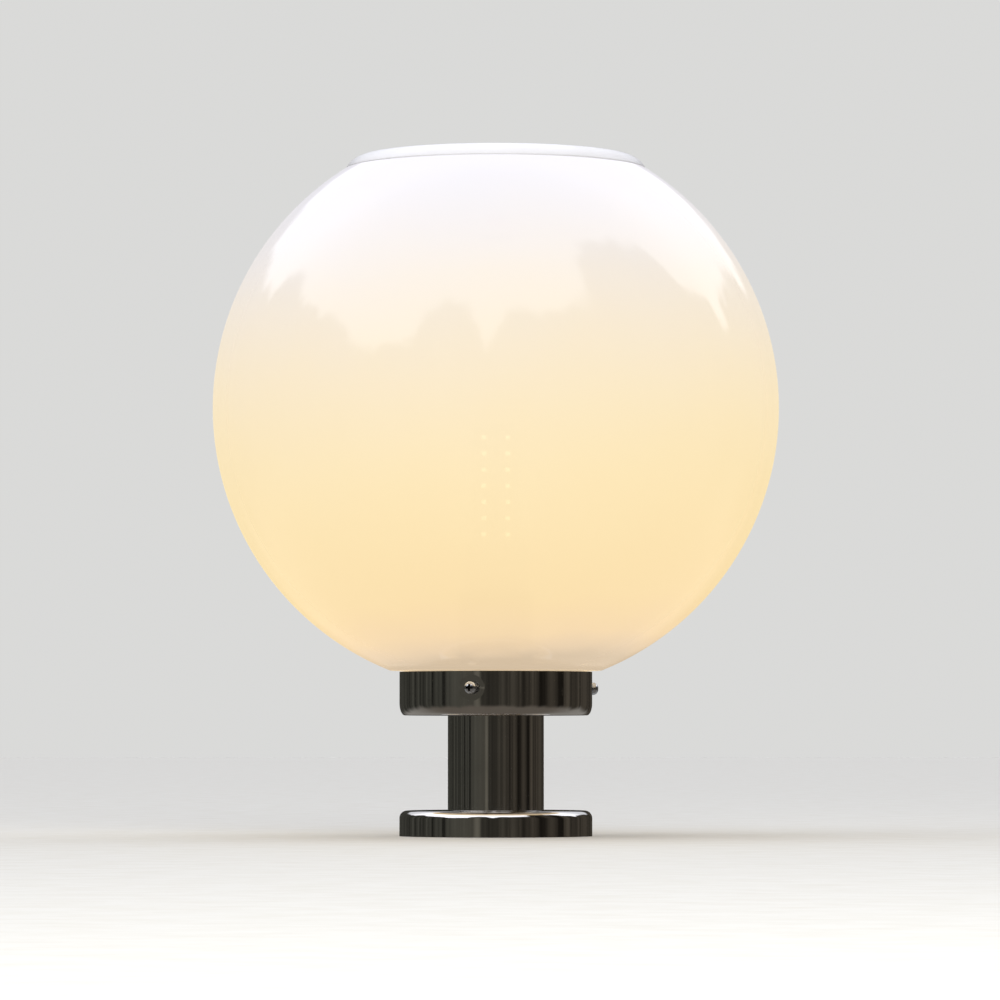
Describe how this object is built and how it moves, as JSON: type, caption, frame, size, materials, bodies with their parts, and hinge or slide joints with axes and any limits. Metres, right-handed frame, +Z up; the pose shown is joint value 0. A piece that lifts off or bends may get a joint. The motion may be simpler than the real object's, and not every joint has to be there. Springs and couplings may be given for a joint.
{
  "type": "solar lamp post",
  "caption": "Pillar-top solar lamp: a lit opal globe on a short polished steel column, with a lift-off solar head, a screw-in lamp inside and clamp screws round its gallery.",
  "frame": {"origin": "centre of the foot, on the surface that the lamp stands on", "axes": "+Z up along the column, front towards -Y, ground strap along X"},
  "size_m": [0.3, 0.3, 0.3603],
  "materials": {
    "polished_steel": "mirror-polished stainless steel",
    "plated_steel": "zinc-plated steel",
    "screw_steel": "bright stainless steel",
    "opal_acrylic": "glossy opal acrylic, lit from inside",
    "white_plastic": "white moulded plastic, satin gloss",
    "black_plastic": "black moulded plastic",
    "black_rubber": "black rubber",
    "grey_rubber": "pale grey silicone rubber",
    "white_ceramic": "unglazed white ceramic",
    "contact_metal": "bright nickel-plated shell",
    "brass_contact": "bright brass",
    "aluminium_core": "satin aluminium",
    "white_board": "white solder-masked circuit board",
    "green_board": "green solder-masked circuit board",
    "component_black": "moulded electronic components",
    "panel_backing": "dark panel backing board",
    "solar_cell": "dark blue crystalline silicon",
    "clear_cover": "clear tempered cover",
    "battery_wrap": "blue shrink-wrapped cell",
    "red_button": "red moulded plastic",
    "lit_diode": "warm white light-emitting diode"
  },
  "bodies": {
    "base": {"base_cup": "polished_steel", "ground_strap": "plated_steel", "centre_rod": "plated_steel", "rod_lock_nut": "plated_steel", "lower_centring_disc": "black_plastic", "upper_centring_disc": "black_plastic", "column_tube": "polished_steel", "gallery_cup": "polished_steel", "clamp_nuts": "plated_steel", "gallery_gasket": "black_rubber", "rod_washer": "plated_steel", "rod_top_nut": "plated_steel", "holder_base": "black_plastic", "holder_insert": "white_ceramic", "holder_shell": "contact_metal", "contact_tongue": "brass_contact", "holder_barrel": "black_plastic"},
    "led_lamp": {"lamp_cap": "contact_metal", "cap_insulator": "black_plastic", "cap_contact": "brass_contact", "driver_housing": "white_plastic", "corn_core": "aluminium_core", "led_strips": "white_board", "led_end_board": "white_board", "light_diodes": "lit_diode"},
    "globe": {"globe_neck": "opal_acrylic", "globe_bowl": "opal_acrylic", "globe": "opal_acrylic"},
    "solar_head": {"head_gasket": "grey_rubber", "solar_bezel": "white_plastic", "panel_backplate": "panel_backing", "solar_cells": "solar_cell", "panel_cover": "clear_cover", "panel_seal": "black_rubber", "tub_gasket": "grey_rubber", "electronics_tub": "white_plastic", "tub_screws": "plated_steel", "battery_cells": "battery_wrap", "battery_cradle": "black_plastic", "controller_board": "green_board", "board_components": "component_black", "switch_body": "black_plastic", "lead_grommet": "black_rubber"},
    "power_button": {"power_button": "red_button"},
    "clamp_screw_1": {"clamp_screw_1": "screw_steel"},
    "clamp_screw_2": {"clamp_screw_2": "screw_steel"},
    "clamp_screw_3": {"clamp_screw_3": "screw_steel"}
  },
  "joints": [
    {"name": "globe_lift", "type": "slide", "parent": "base", "child": "globe", "axis": [0, 0, 1], "range_m": [0, 0.16]},
    {"name": "head_lift", "type": "slide", "parent": "globe", "child": "solar_head", "axis": [0, 0, 1], "range_m": [0, 0.06]},
    {"name": "button_press", "type": "slide", "parent": "solar_head", "child": "power_button", "axis": [0, 0, 1], "range_m": [0, 0.002], "stiffness_N_per_m": 600, "springref_m": -0.002},
    {"name": "lamp_turn", "type": "hinge", "parent": "base", "child": "led_lamp", "pos_m": [0, 0, 0.11], "axis": [0, 0, 1], "range_deg": [0, 900]},
    {"name": "clamp_screw_1_back_off", "type": "slide", "parent": "base", "child": "clamp_screw_1", "axis": [-0.2368, -0.9715, 0], "range_m": [0, 0.003]},
    {"name": "clamp_screw_2_back_off", "type": "slide", "parent": "base", "child": "clamp_screw_2", "axis": [0.9598, 0.2807, 0], "range_m": [0, 0.003]},
    {"name": "clamp_screw_3_back_off", "type": "slide", "parent": "base", "child": "clamp_screw_3", "axis": [-0.723, 0.6909, 0], "range_m": [0, 0.003]}
  ]
}
